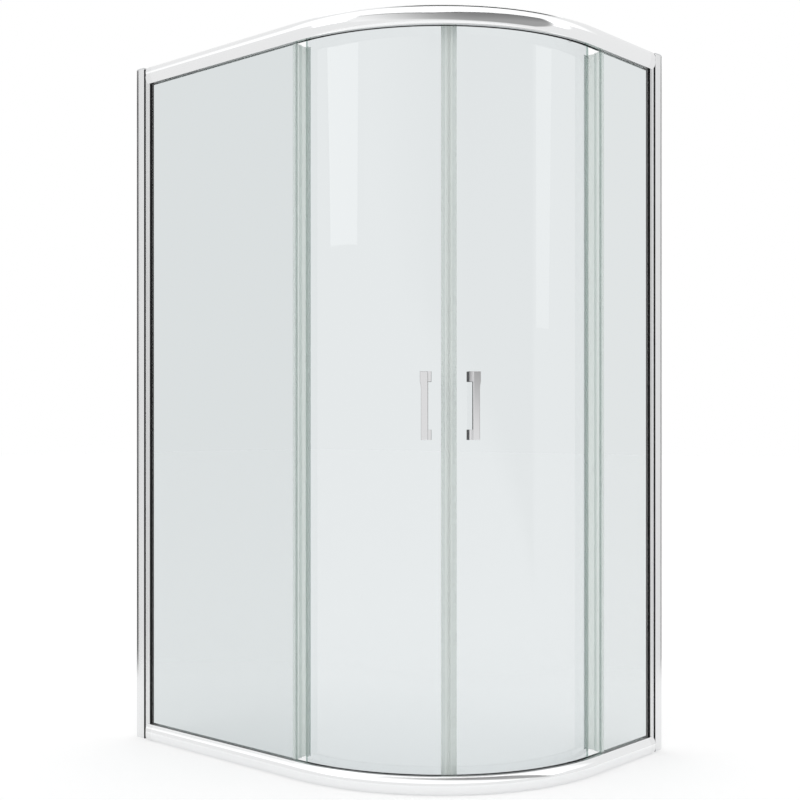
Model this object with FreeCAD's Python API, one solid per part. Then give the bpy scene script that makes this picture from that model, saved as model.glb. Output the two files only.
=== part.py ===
"""Offset quadrant shower enclosure: two fixed panels, a curved doorway and two curved sliding doors.

Frame: millimetres, Z up. The origin is on the ground under the middle of the overall box.
X runs along the long side and Y along the short side. The long panel is at the front (-Y) and
meets a wall at the left end (-X). The short panel is at the right (+X) and meets the back wall (+Y).

Plan positions are given by depths and runs:
  depth  distance inwards from the crown of the rails, the outermost line of the enclosure
  run    distance from the wall along a fixed panel
  angle  degrees round the corner, 0 where the long panel ends and 90 where the short one ends
"""
import FreeCAD, Part
import math
import os

Vector = FreeCAD.Vector
UP = Vector(0, 0, 1)

# Overall sizes
LONG_SIDE = 1195.0          # side wall to the crown of the short side's rail
SHORT_SIDE = 895.0          # back wall to the crown of the long side's rail
HEIGHT = 1900.0             # tray to the top of the wall profile caps
CORNER_RADIUS = 545.0       # crown of the curved rails
GLASS_THICK = 6.0

# Curved rails: one extrusion, used upright at the top and turned over at the bottom
RAIL_HEIGHT = 46.0
RAIL_DEPTH = 42.0
RAIL_CROWN = 10.0           # how far the face bulges beyond its upper and lower edges
RAIL_EDGE_ROUND = 1.5
RAIL_WALL = 1.8
RAIL_WEB_DEPTH = 17.0       # outer face of the upright web that closes the outer chamber
RAIL_SKIRT = 7.0            # short wall under the roof on the room side
TRACK_DROP = 26.5           # roof of the rail to the running face of the track
TRACK_LIP = 5.0             # upstand that keeps the rollers on the track
RAIL_END_PIECE = 25.0       # moulded piece on each rail end, in the rail's own section
RAIL_END_SOLID = 9.0        # solid part of an end piece
RAIL_END_ROUND = 6.0        # its upright edge, rounded in plan
TOP_RAIL_DROP = 5.0         # top of the wall profile caps to the roof of the top rail

# Fixed panels and the profiles that hold them to the walls
FIXED_GLASS_DEPTH = 21.0    # outer face of the fixed glass
FIXED_GLASS_REACH = 16.0    # how far the fixed glass stands inside each rail
GLAZING_GASKET = 1.0        # gasket on each side of the glass in the rail's slot
GASKET_GAP = 0.05           # between that gasket and the slot
WALL_PROFILE_DEPTH = 16.0   # edges of the wall profile's outer face
WALL_PROFILE_CROWN = 2.0    # how far the middle of that face stands out beyond its edges
WALL_PROFILE_THICK = 17.0
WALL_PROFILE_RUN = 33.0
WALL_PROFILE_WALL = 1.5
ADJUST_CLEARANCE = 0.3      # sliding clearance of the adjusting profile in the wall profile
ADJUST_START = 8.0          # run at which the adjusting profile starts
ADJUST_SHOWN = 24.0         # how much of it stands out of the wall profile
ADJUST_WALL = 1.6
ADJUST_GROOVE_BACK = 6.0    # end of the adjusting profile to the groove along its outer face
ADJUST_GROOVE = 0.7         # depth of that groove, and half its width
GLASS_POCKET = 17.0         # run of the pocket that takes the glass
GLASS_EDGE_GAP = 2.0        # glass edge to the bottom of the pocket
WALL_GASKET_SHOWN = 5.5
WALL_GASKET_TIP = 1.2       # thickness of the black gasket at its free edge
WIPER_RUN = 4.0             # black lip against the mouth of the wall profile
WIPER_DEPTH = 16.3          # its outer face
CAP_THICK = 3.0
CAP_SKIRT = 12.0            # how far a profile cap reaches down inside the wall profile
FIXED_EDGE_BACK = {"long": 6.0, "short": 50.0}   # free edge to the start of the corner
EDGE_SEAL_GRIP = 10.0       # how far an edge seal covers the glass
EDGE_SEAL_SKIN = 1.3
EDGE_SEAL_NOSE = 1.5        # seal in front of the glass edge
FIXED_FIN_DEPTH = 42.0      # tip of the fin on the fixed glass
FIN_THICK = 1.0

# Holes and screws of the wall and adjusting profiles
WALL_HOLE_RADIUS = 2.75
WALL_HOLE_MARGIN = 200.0    # outer wall holes to the ends of the enclosure's height
SIDE_SCREW_MARGIN = 120.0
SIDE_SCREW_RUN = 21.0
SIDE_SCREW_RADIUS = 1.9
SIDE_SCREW_HEAD = 3.6
SIDE_SCREW_HEAD_THICK = 2.0
SIDE_CAP_RADIUS = 6.5
SIDE_CAP_THICK = 4.0
SCREW_HOLE_CLEARANCE = 0.2

# Doors
DOOR_GLASS_DEPTH = 60.5     # outer face of the curved glass
SEAM_ANGLE = 44.7           # where the two doors meet
DOOR_BACK = {"a": 13.0, "b": 58.0}     # trailing edge of each door, past the end of the corner
DOOR_FLOOR_GAP = 5.0        # bottom edge of the door glass above the tray
DOOR_TOP_GAP = 5.0          # top edge of the door glass below the roof of the top rail
DOOR_FIN_DEPTH = 38.0       # tip of the fin on a door's trailing edge
SEAL_RAIL_GAP = 2.0         # upright seals to the rails
MAGNET_SEAL_NOSE = 9.0      # glass edge to the seam
MAGNET_SEAL_GRIP = 10.0
SEAM_GAP = 0.4              # between the two closed doors
MAGNET_SIZE = 5.0
DRIP_SEAL_HEIGHT = 12.0
DRIP_SEAL_FLOOR_GAP = 1.5
DRIP_SEAL_END_GAP = 16.0    # from the axis of a roller

# Rollers
ROLLER_RADIUS = 10.0
ROLLER_WIDTH = 7.0
ROLLER_EDGE = 0.8
ROLLER_TRACK_GAP = 0.3
ROLLER_BORE_GAP = 0.05
ROLLER_SIDE_GAP = 0.2
ROLLER_HUB_RECESS = 0.8
ROLLER_HUB_RADIUS = 5.2
ROLLER_RIM = 2.0
ROLLER_ANGLES = {"a": {"lead": 39.5, "trail": 4.5}, "b": {"lead": 50.0, "trail": 88.0}}
ROLLER_OFFSET = {"a": 4.2, "b": 3.6}   # leading roller outwards, trailing one inwards
AXLE_RADIUS = 3.0
AXLE_HEAD_RADIUS = 4.5
AXLE_HEAD_THICK = 1.2
AXLE_END = 5.0              # how far the axle screw reaches past the glass
BUSH_RADIUS = 4.5
BUSH_FLANGE_RADIUS = 9.0
BUSH_FLANGE_THICK = 1.5
BUSH_GAP = 0.1              # bush barrel to the hole in the glass
ROLLER_HOLE_RADIUS = 6.0
ROLLER_CAP_RADIUS = 12.0
ROLLER_CAP_THICK = 9.0
ROLLER_CAP_ROUND = 3.0
STOP_LENGTH = 12.0
STOP_RUN = {"a": 449.1, "b": 152.7}   # face that an open door's trailing rollers come to
STOP_SIDE_GAP = 3.0         # bumper to the web and to the lip
STOP_HEIGHT = 16.0

# Handles
HANDLE_BOTTOM = 852.0
HANDLE_TOP = 1018.0
HANDLE_FROM_SEAM = 58.0     # middle of the bar, along the glass
HANDLE_WIDTH = 17.0
HANDLE_FLARE = 2.5          # extra width of the bar's head
HANDLE_HEAD = 25.0          # height of the feet and of the flared head
HANDLE_THICK = 10.0
HANDLE_STANDOFF = 30.5      # glass to the back of the bar
HANDLE_ROUND = 2.0
FOOT_BEYOND = 7.0           # how far the feet reach beyond the bar towards the seam
HANDLE_WASHER = 1.0
HANDLE_WASHER_RADIUS = 8.0
HANDLE_HOLE_RADIUS = 4.0
HANDLE_BOLT_RADIUS = 2.5
HANDLE_BOLT_REACH = 16.0    # into a foot
KNOB_RADIUS = 9.0
KNOB_THICK = 12.0
KNOB_ROUND = 2.0
KNOB_BOLT_REACH = 8.0

OVERSHOOT = 1.0             # how far a cutting tool reaches past what it cuts

# Places worked out from the sizes above
CENTRE = Vector(LONG_SIDE / 2 - CORNER_RADIUS, CORNER_RADIUS - SHORT_SIDE / 2, 0)
PANEL_RUN = {"long": LONG_SIDE - CORNER_RADIUS, "short": SHORT_SIDE - CORNER_RADIUS}
TOP_RAIL_TOP = HEIGHT - TOP_RAIL_DROP
TOP_RAIL_BOTTOM = TOP_RAIL_TOP - RAIL_HEIGHT
PROFILE_TOP = HEIGHT - CAP_THICK
WALL_HOLE_HEIGHTS = [WALL_HOLE_MARGIN, HEIGHT / 2, HEIGHT - WALL_HOLE_MARGIN]
SIDE_SCREW_HEIGHTS = [SIDE_SCREW_MARGIN, HEIGHT / 2, HEIGHT - SIDE_SCREW_MARGIN]
GLASS_MIDDLE_DEPTH = FIXED_GLASS_DEPTH + GLASS_THICK / 2
PROFILE_END = WALL_PROFILE_RUN + ADJUST_SHOWN
RAIL_START = PROFILE_END + RAIL_END_PIECE
POCKET_START = PROFILE_END - GLASS_POCKET
SLOT_OUTER = FIXED_GLASS_DEPTH - GLAZING_GASKET
SLOT_INNER = FIXED_GLASS_DEPTH + GLASS_THICK + GLAZING_GASKET
TRACK_BOTTOM = TRACK_DROP + RAIL_WALL
FIXED_GLASS_TOP = TOP_RAIL_BOTTOM + FIXED_GLASS_REACH
FIXED_GLASS_BOTTOM = RAIL_HEIGHT - FIXED_GLASS_REACH
DOOR_GLASS_INNER = DOOR_GLASS_DEPTH + GLASS_THICK
DOOR_MID_RADIUS = CORNER_RADIUS - DOOR_GLASS_DEPTH - GLASS_THICK / 2
DOOR_GLASS_TOP = TOP_RAIL_TOP - DOOR_TOP_GAP
CHANNEL_OUTER = RAIL_WEB_DEPTH + RAIL_WALL
CHANNEL_INNER = RAIL_DEPTH - RAIL_WALL
CHANNEL_MIDDLE = (CHANNEL_OUTER + CHANNEL_INNER) / 2
AXLE_DROP = TRACK_DROP - ROLLER_TRACK_GAP - ROLLER_RADIUS
SEAL_BOTTOM = RAIL_HEIGHT + SEAL_RAIL_GAP
SEAL_TOP = TOP_RAIL_BOTTOM - SEAL_RAIL_GAP
ROLLER_LEVELS = {"bottom": AXLE_DROP, "top": TOP_RAIL_TOP - AXLE_DROP}
HANDLE_BOLT_LEVELS = [HANDLE_BOTTOM + HANDLE_HEAD / 2, HANDLE_TOP - HANDLE_HEAD / 2]


def save(name, solids):
    """Write one node from a solid or from a list of separate solids."""
    shape = solids[0] if len(solids) == 1 else Part.makeCompound(solids)
    shape.exportStep(f"parts/{name}.step")


def face(points, place):
    """A flat face from 2-D points; a point marked "arc" is the middle of an arc between its neighbours."""
    corners = [place(p[0], p[1]) for p in points]
    is_middle = [len(p) == 3 for p in points]
    count = len(points)
    edges = []
    for i in range(count):
        after = (i + 1) % count
        if is_middle[i]:
            continue
        if is_middle[after]:
            edges.append(Part.Arc(corners[i], corners[after], corners[(i + 2) % count]).toShape())
        else:
            edges.append(Part.LineSegment(corners[i], corners[after]).toShape())
    return Part.Face(Part.Wire(edges))


def rectangle(x0, y0, x1, y1):
    """The corner points of a rectangle."""
    return [(x0, y0), (x1, y0), (x1, y1), (x0, y1)]


def panel_place(side, level):
    """Where a (run, depth) point lies on a fixed panel's side."""
    if side == "long":
        return lambda run, depth: Vector(run - LONG_SIDE / 2, depth - SHORT_SIDE / 2, level)
    return lambda run, depth: Vector(LONG_SIDE / 2 - depth, SHORT_SIDE / 2 - run, level)


def upright(side, points, bottom, top):
    """An upright extrusion on a fixed panel's side, from its (run, depth) section."""
    return face(points, panel_place(side, bottom)).extrude(UP * (top - bottom))


def panel_vector(side, run, depth):
    """The plan direction of a (run, depth) step on a fixed panel's side."""
    place = panel_place(side, 0)
    return place(run, depth) - place(0, 0)


def panel_pin(side, radius, start, length, direction):
    """A level cylinder on a side: start is (run, depth, height) and direction is (run, depth)."""
    base = panel_place(side, start[2])(start[0], start[1])
    return Part.makeCylinder(radius, length, base, panel_vector(side, *direction))


def turned(shape, angle):
    """The shape turned round the corner's centre."""
    copy = shape.copy()
    copy.rotate(CENTRE, UP, angle)
    return copy


def ring(depth0, depth1, bottom, top, angle0, angle1):
    """A curved strip round the corner, between two depths, two levels and two angles."""
    place = lambda depth, level: Vector(CENTRE.x, depth - SHORT_SIDE / 2, level)
    section = face(rectangle(depth0, bottom, depth1, top), place)
    low, high = min(angle0, angle1), max(angle0, angle1)
    return turned(section, low).revolve(CENTRE, UP, high - low)


def corner_place(angle, toward, level):
    """Where a (step, depth) point lies round the corner; a step runs level, towards the seam."""
    turn = math.radians(angle)

    def place(step, depth):
        radius = CORNER_RADIUS - depth
        x = CENTRE.x + radius * math.sin(turn) + toward * step * math.cos(turn)
        y = CENTRE.y - radius * math.cos(turn) + toward * step * math.sin(turn)
        return Vector(x, y, level)
    return place


def inward(angle):
    """The level direction from the outside to the room, at an angle round the corner."""
    turn = math.radians(angle)
    return Vector(-math.sin(turn), math.cos(turn), 0)


def pin(angle, level, radius, depth0, depth1, step=0.0, toward=1):
    """A level cylinder along the depth, round the corner."""
    base = corner_place(angle, toward, level)(step, depth0)
    return Part.makeCylinder(radius, depth1 - depth0, base, inward(angle))


def glass_angle(length):
    """The angle of a length along the middle of the door glass."""
    return math.degrees(length / DOOR_MID_RADIUS)


def rounded_ends(shape, radius, direction):
    """The shape with its edges at the far end along a direction rounded."""
    reach = max(vertex.Point.dot(direction) for vertex in shape.Vertexes)
    rim = [e for e in shape.Edges if all(abs(v.Point.dot(direction) - reach) < 1e-6 for v in e.Vertexes)]
    return shape.makeFillet(radius, rim)


# ---------------------------------------------------------------- curved rails

def crown_points():
    """The bulging outer face of the rail, from its lower edge to its upper one."""
    edge = RAIL_EDGE_ROUND
    cut = edge * (1 - math.sqrt(0.5))
    return [
        (RAIL_CROWN + edge, RAIL_HEIGHT),
        (RAIL_CROWN + cut, RAIL_HEIGHT - cut, "arc"),
        (RAIL_CROWN, RAIL_HEIGHT - edge),
        (0.0, RAIL_HEIGHT / 2, "arc"),
        (RAIL_CROWN, edge),
        (RAIL_CROWN + cut, cut, "arc"),
        (RAIL_CROWN + edge, 0.0),
    ]


def rail_section():
    """The rail's solid outline and its closed outer chamber, as (depth, drop) points."""
    wall = RAIL_WALL
    outline = crown_points() + [
        (RAIL_DEPTH, 0.0),
        (RAIL_DEPTH, RAIL_SKIRT),
        (CHANNEL_INNER, RAIL_SKIRT),
        (CHANNEL_INNER, wall),
        (CHANNEL_OUTER, wall),
        (CHANNEL_OUTER, TRACK_DROP),
        (CHANNEL_INNER, TRACK_DROP),
        (CHANNEL_INNER, TRACK_DROP - TRACK_LIP),
        (RAIL_DEPTH, TRACK_DROP - TRACK_LIP),
        (RAIL_DEPTH, TRACK_BOTTOM),
        (SLOT_INNER + wall, TRACK_BOTTOM),
        (SLOT_INNER + wall, RAIL_HEIGHT),
        (SLOT_INNER, RAIL_HEIGHT),
        (SLOT_INNER, TRACK_BOTTOM),
        (SLOT_OUTER, TRACK_BOTTOM),
        (SLOT_OUTER, RAIL_HEIGHT),
    ]
    chamber = [
        (RAIL_CROWN + wall, wall),
        (RAIL_WEB_DEPTH, wall),
        (RAIL_WEB_DEPTH, TRACK_BOTTOM),
        (SLOT_OUTER - wall, TRACK_BOTTOM),
        (SLOT_OUTER - wall, RAIL_HEIGHT - wall),
        (RAIL_CROWN + wall, RAIL_HEIGHT - wall),
        (wall, RAIL_HEIGHT / 2, "arc"),
    ]
    return outline, chamber


def rail_place(level):
    """Where a (depth, drop) point lies at the start of the corner, for the top or the bottom rail."""
    if level == "top":
        return lambda depth, drop: Vector(CENTRE.x, depth - SHORT_SIDE / 2, TOP_RAIL_TOP - drop)
    return lambda depth, drop: Vector(CENTRE.x, depth - SHORT_SIDE / 2, drop)


def swept_rail(section, start_run):
    """A section carried along the long side, round the corner and along the short side."""
    straight_long = section.extrude(Vector(start_run - PANEL_RUN["long"], 0, 0))
    bend = section.revolve(CENTRE, UP, 90)
    straight_short = turned(section, 90).extrude(Vector(0, PANEL_RUN["short"] - start_run, 0))
    return straight_long.fuse([bend, straight_short]).removeSplitter()


def make_rail(level):
    outline, chamber = rail_section()
    place = rail_place(level)
    section = face(outline, place).cut(face(chamber, place)).Faces[0]
    save(f"{level}_rail", [swept_rail(section, RAIL_START)])


def along_side(section, side, run0, run1):
    """A section at the start of the corner, carried along one side between two runs."""
    back = PANEL_RUN[side] - run1
    if side == "long":
        moved = section.translated(Vector(-back, 0, 0))
        return moved.extrude(Vector(run0 - run1, 0, 0))
    moved = turned(section, 90).translated(Vector(0, back, 0))
    return moved.extrude(Vector(0, run1 - run0, 0))


def make_rail_end_piece(side, level):
    """The moulded piece that ends a rail: solid and rounded at the wall, then hollow like the rail."""
    place = rail_place(level)
    outline, chamber = rail_section()
    plate_outline = crown_points() + [
        (RAIL_DEPTH, 0.0),
        (RAIL_DEPTH, TRACK_BOTTOM),
        (SLOT_INNER + RAIL_WALL, TRACK_BOTTOM),
        (SLOT_INNER + RAIL_WALL, RAIL_HEIGHT),
        (SLOT_INNER, RAIL_HEIGHT),
        (SLOT_INNER, TRACK_BOTTOM),
        (SLOT_OUTER, TRACK_BOTTOM),
        (SLOT_OUTER, RAIL_HEIGHT),
    ]
    solid_end = PROFILE_END + RAIL_END_SOLID
    block = along_side(face(plate_outline, place), side, PROFILE_END, solid_end)
    shell = along_side(face(outline, place).cut(face(chamber, place)).Faces[0], side, solid_end, RAIL_START)
    round_cut = RAIL_END_ROUND * (1 - math.sqrt(0.5))
    plan = [
        (PROFILE_END, RAIL_DEPTH),
        (PROFILE_END, RAIL_END_ROUND),
        (PROFILE_END + round_cut, round_cut, "arc"),
        (PROFILE_END + RAIL_END_ROUND, 0.0),
        (RAIL_START, 0.0),
        (RAIL_START, RAIL_DEPTH),
    ]
    piece = block.fuse(shell).removeSplitter().common(upright(side, plan, 0, HEIGHT))
    save(f"rail_end_piece_{level}_{side}", [piece])


def make_glazing_gasket(level):
    """The clear gasket round the fixed glass in a rail's slot, one length for each side."""
    gap = GASKET_GAP
    roof = TRACK_BOTTOM + gap
    glass_edge = RAIL_HEIGHT - FIXED_GLASS_REACH
    section = face([
        (SLOT_OUTER + gap, roof),
        (SLOT_INNER - gap, roof),
        (SLOT_INNER - gap, RAIL_HEIGHT),
        (FIXED_GLASS_DEPTH + GLASS_THICK, RAIL_HEIGHT),
        (FIXED_GLASS_DEPTH + GLASS_THICK, glass_edge),
        (FIXED_GLASS_DEPTH, glass_edge),
        (FIXED_GLASS_DEPTH, RAIL_HEIGHT),
        (SLOT_OUTER + gap, RAIL_HEIGHT),
    ], rail_place(level))
    lengths = []
    for side in ("long", "short"):
        end = PANEL_RUN[side] - FIXED_EDGE_BACK[side] - EDGE_SEAL_NOSE
        lengths.append(along_side(section, side, RAIL_START, end))
    save(f"glazing_gasket_{level}", lengths)


# ---------------------------------------------------------------- wall side of the fixed panels

def crowned(run0, run1, depth):
    """The outer face of the wall profile from one run to the other, or a face behind it."""
    middle = (run0 + run1) / 2
    return [(run0, depth), (middle, depth - WALL_PROFILE_CROWN, "arc"), (run1, depth)]


def make_wall_profile(side):
    """The channel screwed to the wall, with a gently bulging outer face."""
    outer = WALL_PROFILE_DEPTH
    inner = WALL_PROFILE_DEPTH + WALL_PROFILE_THICK
    wall = WALL_PROFILE_WALL
    end = WALL_PROFILE_RUN
    channel = upright(side, crowned(0, end, outer) + [
        (end, inner),
        (0, inner),
    ], 0, PROFILE_TOP)
    hollow = upright(side, rectangle(wall, outer + wall, end + OVERSHOOT, inner - wall),
                     -OVERSHOOT, HEIGHT)
    channel = channel.cut(hollow)
    for height in WALL_HOLE_HEIGHTS:
        start = (-OVERSHOOT, GLASS_MIDDLE_DEPTH, height)
        channel = channel.cut(panel_pin(side, WALL_HOLE_RADIUS, start, wall + 2 * OVERSHOOT, (1, 0)))
    hole = SIDE_SCREW_RADIUS + SCREW_HOLE_CLEARANCE
    for height in SIDE_SCREW_HEIGHTS:
        start = (SIDE_SCREW_RUN, inner - wall - OVERSHOOT, height)
        channel = channel.cut(panel_pin(side, hole, start, wall + 2 * OVERSHOOT, (0, 1)))
    save(f"wall_profile_{side}", [channel])


def make_profile_caps():
    """The covers pushed into the tops of the wall profiles."""
    covers = []
    inset = WALL_PROFILE_WALL + ADJUST_CLEARANCE
    outer = WALL_PROFILE_DEPTH
    inner = WALL_PROFILE_DEPTH + WALL_PROFILE_THICK
    for side in ("long", "short"):
        plate_section = crowned(0, WALL_PROFILE_RUN, outer) + [
            (WALL_PROFILE_RUN, inner),
            (0, inner),
        ]
        plate = upright(side, plate_section, PROFILE_TOP, HEIGHT)
        tongue_end = ADJUST_START - ADJUST_CLEARANCE
        tongue_section = rectangle(inset, outer + inset, tongue_end, inner - inset)
        tongue = upright(side, tongue_section, PROFILE_TOP - CAP_SKIRT, PROFILE_TOP)
        covers.append(plate.fuse(tongue))
    save("wall_profile_caps", covers)


def make_adjusting_profile(side):
    """The profile that slides in the wall profile and holds the edge of the glass."""
    outer = WALL_PROFILE_DEPTH + WALL_PROFILE_WALL + ADJUST_CLEARANCE
    inner = WALL_PROFILE_DEPTH + WALL_PROFILE_THICK - WALL_PROFILE_WALL - ADJUST_CLEARANCE
    wall = ADJUST_WALL
    groove = PROFILE_END - ADJUST_GROOVE_BACK
    body = upright(side, [
        (ADJUST_START, outer),
        (groove - ADJUST_GROOVE, outer),
        (groove, outer + ADJUST_GROOVE),
        (groove + ADJUST_GROOVE, outer),
        (PROFILE_END, outer),
        (PROFILE_END, inner),
        (ADJUST_START, inner),
    ], 0, TOP_RAIL_TOP)
    chamber_section = rectangle(ADJUST_START + wall, outer + wall, POCKET_START - wall, inner - wall)
    pocket_section = rectangle(POCKET_START, outer + wall, PROFILE_END + OVERSHOOT, inner - wall)
    body = body.cut(upright(side, chamber_section, -OVERSHOOT, HEIGHT))
    body = body.cut(upright(side, pocket_section, -OVERSHOOT, HEIGHT))
    for height in SIDE_SCREW_HEIGHTS:
        start = (SIDE_SCREW_RUN, inner - wall - OVERSHOOT, height)
        body = body.cut(panel_pin(side, SIDE_SCREW_RADIUS, start, wall + 2 * OVERSHOOT, (0, 1)))
    save(f"adjusting_profile_{side}", [body])


def make_profile_wipers():
    """The black lips that close the gap between each wall profile's edge and its adjusting profile."""
    profile_face = WALL_PROFILE_DEPTH + WALL_PROFILE_WALL + ADJUST_CLEARANCE
    end = WALL_PROFILE_RUN + WIPER_RUN
    section = rectangle(WALL_PROFILE_RUN, WIPER_DEPTH, end, profile_face)
    lips = [upright(side, section, 0, TOP_RAIL_TOP) for side in ("long", "short")]
    save("profile_wipers", lips)


def make_wall_gasket(side):
    """The black gasket between the adjusting profile and the glass, shown as a dark line."""
    pocket_outer = WALL_PROFILE_DEPTH + WALL_PROFILE_WALL + ADJUST_CLEARANCE + ADJUST_WALL
    pocket_inner = (WALL_PROFILE_DEPTH + WALL_PROFILE_THICK
                    - WALL_PROFILE_WALL - ADJUST_CLEARANCE - ADJUST_WALL)
    glass_outer = FIXED_GLASS_DEPTH
    glass_inner = FIXED_GLASS_DEPTH + GLASS_THICK
    glass_edge = POCKET_START + GLASS_EDGE_GAP
    tip = PROFILE_END + WALL_GASKET_SHOWN
    gasket = upright(side, [
        (POCKET_START, pocket_outer),
        (PROFILE_END, pocket_outer),
        (tip, glass_outer - WALL_GASKET_TIP),
        (tip, glass_outer),
        (glass_edge, glass_outer),
        (glass_edge, glass_inner),
        (tip, glass_inner),
        (tip, glass_inner + WALL_GASKET_TIP),
        (PROFILE_END, pocket_inner),
        (POCKET_START, pocket_inner),
    ], RAIL_HEIGHT, TOP_RAIL_BOTTOM)
    save(f"wall_gasket_{side}", [gasket])


def make_side_screws():
    """The screws that lock each adjusting profile in its wall profile, and their snap covers."""
    inner = WALL_PROFILE_DEPTH + WALL_PROFILE_THICK
    wall_stack = WALL_PROFILE_WALL + ADJUST_CLEARANCE + ADJUST_WALL
    screws = []
    covers = []
    for side in ("long", "short"):
        for height in SIDE_SCREW_HEIGHTS:
            start = (SIDE_SCREW_RUN, inner - wall_stack, height)
            shank = panel_pin(side, SIDE_SCREW_RADIUS, start, wall_stack, (0, 1))
            seat = (SIDE_SCREW_RUN, inner, height)
            head = panel_pin(side, SIDE_SCREW_HEAD, seat, SIDE_SCREW_HEAD_THICK, (0, 1))
            screws.append(shank.fuse(head))
            cover = panel_pin(side, SIDE_CAP_RADIUS, seat, SIDE_CAP_THICK, (0, 1))
            cover = rounded_ends(cover, SIDE_CAP_THICK / 3, panel_vector(side, 0, 1))
            covers.append(cover.cut(head))
    save("side_screws", screws)
    save("side_screw_covers", covers)


# ---------------------------------------------------------------- fixed glass and its free edge

def make_fixed_glass(side):
    end = PANEL_RUN[side] - FIXED_EDGE_BACK[side] - EDGE_SEAL_NOSE
    inner = FIXED_GLASS_DEPTH + GLASS_THICK
    section = rectangle(POCKET_START + GLASS_EDGE_GAP, FIXED_GLASS_DEPTH, end, inner)
    save(f"fixed_glass_{side}", [upright(side, section, FIXED_GLASS_BOTTOM, FIXED_GLASS_TOP)])


def make_fixed_edge_seal(side):
    """The clear seal on the free edge of the fixed glass, with a fin towards the door."""
    free = PANEL_RUN[side] - FIXED_EDGE_BACK[side]
    glass_end = free - EDGE_SEAL_NOSE
    grip_end = glass_end - EDGE_SEAL_GRIP
    outer = FIXED_GLASS_DEPTH
    inner = FIXED_GLASS_DEPTH + GLASS_THICK
    seal = upright(side, [
        (grip_end, outer - EDGE_SEAL_SKIN),
        (free, outer - EDGE_SEAL_SKIN),
        (free, inner + EDGE_SEAL_SKIN),
        (free - FIN_THICK, FIXED_FIN_DEPTH),
        (free - 2 * FIN_THICK, FIXED_FIN_DEPTH),
        (free - 3 * FIN_THICK, inner + EDGE_SEAL_SKIN),
        (grip_end, inner + EDGE_SEAL_SKIN),
        (grip_end, inner),
        (glass_end, inner),
        (glass_end, outer),
        (grip_end, outer),
    ], SEAL_BOTTOM, SEAL_TOP)
    save(f"fixed_edge_seal_{side}", [seal])


# ---------------------------------------------------------------- doors

class Door:
    """One curved door: where its edges are, and which way its leading edge points."""

    def __init__(self, name):
        self.name = name
        self.toward = 1 if name == "a" else -1
        self.corner_end = 0.0 if name == "a" else 90.0
        back = DOOR_BACK[name] - EDGE_SEAL_NOSE
        self.trail = self.corner_end - self.toward * math.degrees(math.asin(back / DOOR_MID_RADIUS))
        self.lead = SEAM_ANGLE - self.toward * glass_angle(MAGNET_SEAL_NOSE)
        self.handle = SEAM_ANGLE - self.toward * glass_angle(HANDLE_FROM_SEAM)

    def behind_lead(self, length):
        """The angle at a length behind the leading edge of the glass."""
        return self.lead - self.toward * glass_angle(length)

    def roller_spots(self):
        """Name, angle, level and depth of each roller."""
        spots = []
        for level in ("top", "bottom"):
            for end in ("lead", "trail"):
                offset = ROLLER_OFFSET[self.name] * (-1 if end == "lead" else 1)
                angle = ROLLER_ANGLES[self.name][end]
                spots.append((f"{level}_{end}", angle, ROLLER_LEVELS[level], CHANNEL_MIDDLE + offset))
        return spots


def curved_pane(door):
    """A door's glass before it is drilled."""
    return ring(DOOR_GLASS_DEPTH, DOOR_GLASS_INNER, DOOR_FLOOR_GAP, DOOR_GLASS_TOP, door.trail, door.lead)


def make_door_glass(door):
    glass = curved_pane(door)
    near = DOOR_GLASS_DEPTH - OVERSHOOT
    far = DOOR_GLASS_INNER + OVERSHOOT
    drills = []
    for name, angle, level, depth in door.roller_spots():
        drills.append(pin(angle, level, ROLLER_HOLE_RADIUS, near, far))
    for level in HANDLE_BOLT_LEVELS:
        drills.append(pin(door.handle, level, HANDLE_HOLE_RADIUS, near, far))
    save(f"door_glass_{door.name}", [glass.cut(drills)])


def make_magnetic_seal(door):
    """The clear seal on the leading edge and the magnet strip inside it."""
    bottom = DOOR_FLOOR_GAP
    top = DOOR_GLASS_TOP
    nose = MAGNET_SEAL_NOSE - SEAM_GAP / 2
    skin = EDGE_SEAL_SKIN
    seal = ring(DOOR_GLASS_DEPTH - skin, DOOR_GLASS_INNER + skin, bottom, top,
                door.behind_lead(-nose), door.behind_lead(MAGNET_SEAL_GRIP))
    seal = seal.cut(ring(DOOR_GLASS_DEPTH, DOOR_GLASS_INNER, bottom - OVERSHOOT, top + OVERSHOOT,
                         door.lead, door.behind_lead(2 * MAGNET_SEAL_GRIP)))
    middle = DOOR_GLASS_DEPTH + GLASS_THICK / 2
    magnet_end = nose - FIN_THICK
    magnet = ring(middle - MAGNET_SIZE / 2, middle + MAGNET_SIZE / 2, bottom, top,
                  door.behind_lead(-magnet_end), door.behind_lead(MAGNET_SIZE - magnet_end))
    save(f"magnetic_seal_{door.name}", [seal.cut(magnet)])
    save(f"magnet_strip_{door.name}", [magnet])


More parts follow.
